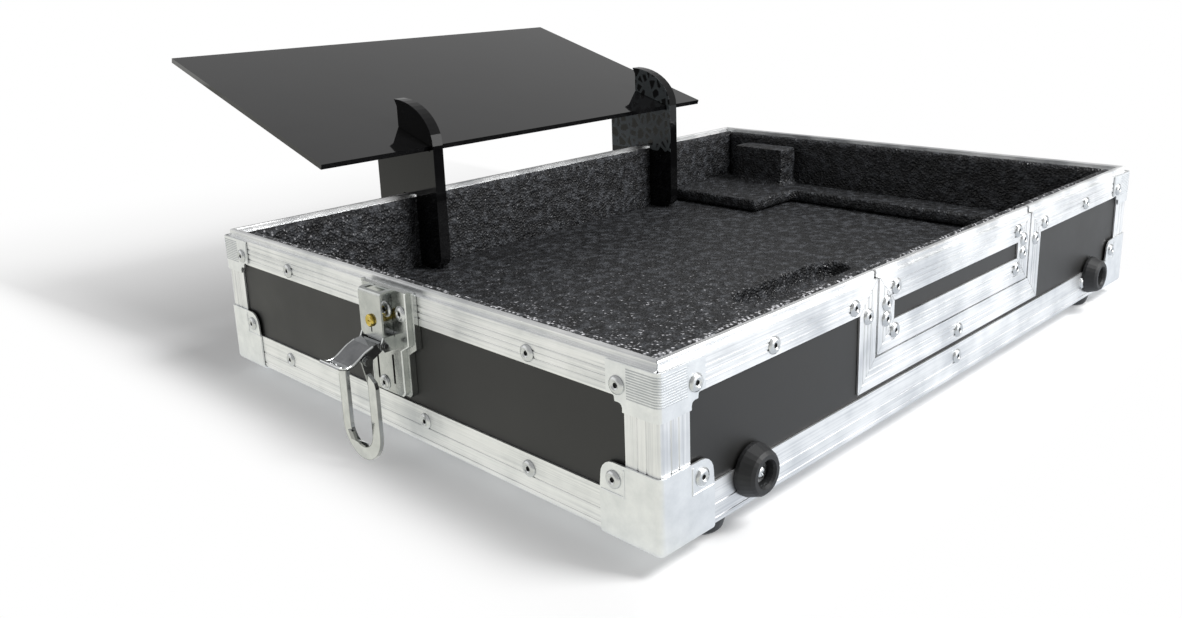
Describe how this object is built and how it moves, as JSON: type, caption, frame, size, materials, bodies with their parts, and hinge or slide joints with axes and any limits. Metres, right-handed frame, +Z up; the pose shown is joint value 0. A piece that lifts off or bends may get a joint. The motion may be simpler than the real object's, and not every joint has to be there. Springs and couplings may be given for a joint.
{
  "type": "dj coffin case base",
  "caption": "Shallow flight case base for a dj controller: laminated panels, aluminium edging, foam tray, toggle latches, lift-out front panel and a tilted laptop shelf on hanging brackets.",
  "frame": {"origin": "centre of the base panel's underside", "axes": "+X to the right along the long side, +Y from the front wall with the access panel to the rear wall, +Z up"},
  "size_m": [0.8356, 0.7717, 0.273],
  "materials": {
    "laminate": "black laminate, satin",
    "edge_section": "mill finish with fine drawn lines",
    "brace_plate": "zinc plated, pressed",
    "foam": "charcoal closed-cell foam, glittering cut cells",
    "rubber": "moulded, matte",
    "plated_steel": "bright nickel plate",
    "lock_brass": "polished",
    "acrylic": "black cast acrylic, polished"
  },
  "bodies": {
    "case": {"base_panel": "laminate", "wall_front": "laminate", "wall_rear": "laminate", "wall_left": "laminate", "wall_right": "laminate", "bottom_edge_front": "edge_section", "bottom_edge_rear": "edge_section", "bottom_edge_left": "edge_section", "bottom_edge_right": "edge_section", "corner_post_front_left": "edge_section", "corner_post_front_right": "edge_section", "corner_post_rear_left": "edge_section", "corner_post_rear_right": "edge_section", "rim_rear": "edge_section", "rim_left": "edge_section", "rim_right": "edge_section", "rim_front_left": "edge_section", "rim_front_right": "edge_section", "access_leg_left": "edge_section", "access_leg_right": "edge_section", "access_sill": "edge_section", "foam_front": "foam", "foam_rear": "foam", "foam_left": "foam", "foam_right": "foam", "foam_floor": "foam", "foam_ledge": "foam", "rim_brace_front_left": "brace_plate", "rim_brace_front_right": "brace_plate", "rim_brace_rear_left": "brace_plate", "rim_brace_rear_right": "brace_plate", "base_brace_front_left": "brace_plate", "base_brace_front_right": "brace_plate", "base_brace_rear_left": "brace_plate", "base_brace_rear_right": "brace_plate", "bumper_left": "rubber", "bumper_right": "rubber", "foot_front_left": "rubber", "foot_front_right": "rubber", "foot_rear_left": "rubber", "foot_rear_right": "rubber", "latch_left_base": "plated_steel", "latch_right_base": "plated_steel"},
    "access_panel": {"access_board": "laminate", "access_rail_top": "edge_section", "access_rail_bottom": "edge_section", "access_rail_left": "edge_section", "access_rail_right": "edge_section", "access_foam_pad": "foam"},
    "left_lever": {"latch_left_lever": "plated_steel"},
    "left_pin": {"latch_left_bail_pin": "plated_steel"},
    "left_bail": {"latch_left_bail": "plated_steel"},
    "left_lock": {"latch_left_lock_barrel": "lock_brass"},
    "right_lever": {"latch_right_lever": "plated_steel"},
    "right_pin": {"latch_right_bail_pin": "plated_steel"},
    "right_bail": {"latch_right_bail": "plated_steel"},
    "right_lock": {"latch_right_lock_barrel": "lock_brass"},
    "left_bracket": {"bracket_left": "acrylic"},
    "right_bracket": {"bracket_right": "acrylic"},
    "laptop_shelf": {"shelf": "acrylic"}
  },
  "joints": [
    {"name": "access_panel_lift", "type": "slide", "parent": "case", "child": "access_panel", "axis": [0, 0, 1], "range_m": [0, 0.066]},
    {"name": "left_lever_turn", "type": "hinge", "parent": "case", "child": "left_lever", "pos_m": [-0.379, 0.0045, 0.0755], "axis": [0, 1, 0], "range_deg": [-70, 20]},
    {"name": "left_pin_turn", "type": "hinge", "parent": "left_lever", "child": "left_pin", "pos_m": [-0.395, 0.0045, 0.0676], "axis": [0, 1, 0], "range_deg": [-20, 70]},
    {"name": "left_bail_swing", "type": "hinge", "parent": "left_pin", "child": "left_bail", "pos_m": [-0.395, 0.0045, 0.0676], "axis": [0, 1, 0], "range_deg": [0, 165]},
    {"name": "left_lock_turn", "type": "hinge", "parent": "case", "child": "left_lock", "pos_m": [-0.381, 0.0045, 0.0923], "axis": [-1, 0, 0], "range_deg": [0, 90]},
    {"name": "right_lever_turn", "type": "hinge", "parent": "case", "child": "right_lever", "pos_m": [0.379, 0.0045, 0.0755], "axis": [0, -1, 0], "range_deg": [-70, 20]},
    {"name": "right_pin_turn", "type": "hinge", "parent": "right_lever", "child": "right_pin", "pos_m": [0.395, 0.0045, 0.0676], "axis": [0, -1, 0], "range_deg": [-20, 70]},
    {"name": "right_bail_swing", "type": "hinge", "parent": "right_pin", "child": "right_bail", "pos_m": [0.395, 0.0045, 0.0676], "axis": [0, -1, 0], "range_deg": [0, 165]},
    {"name": "right_lock_turn", "type": "hinge", "parent": "case", "child": "right_lock", "pos_m": [0.381, 0.0045, 0.0923], "axis": [1, 0, 0], "range_deg": [0, 90]},
    {"name": "left_bracket_lift", "type": "slide", "parent": "case", "child": "left_bracket", "axis": [0, 0, 1], "range_m": [0, 0.08]},
    {"name": "right_bracket_lift", "type": "slide", "parent": "case", "child": "right_bracket", "axis": [0, 0, 1], "range_m": [0, 0.08]},
    {"name": "shelf_slide", "type": "slide", "parent": "left_bracket", "child": "laptop_shelf", "axis": [0, 0.9583, 0.2857], "range_m": [0, 0.055]}
  ],
  "couplings": [
    {"joint": "left_pin_turn", "follows": "left_lever_turn", "ratio": -1},
    {"joint": "right_pin_turn", "follows": "right_lever_turn", "ratio": -1},
    {"joint": "right_bracket_lift", "follows": "left_bracket_lift", "ratio": 1}
  ]
}
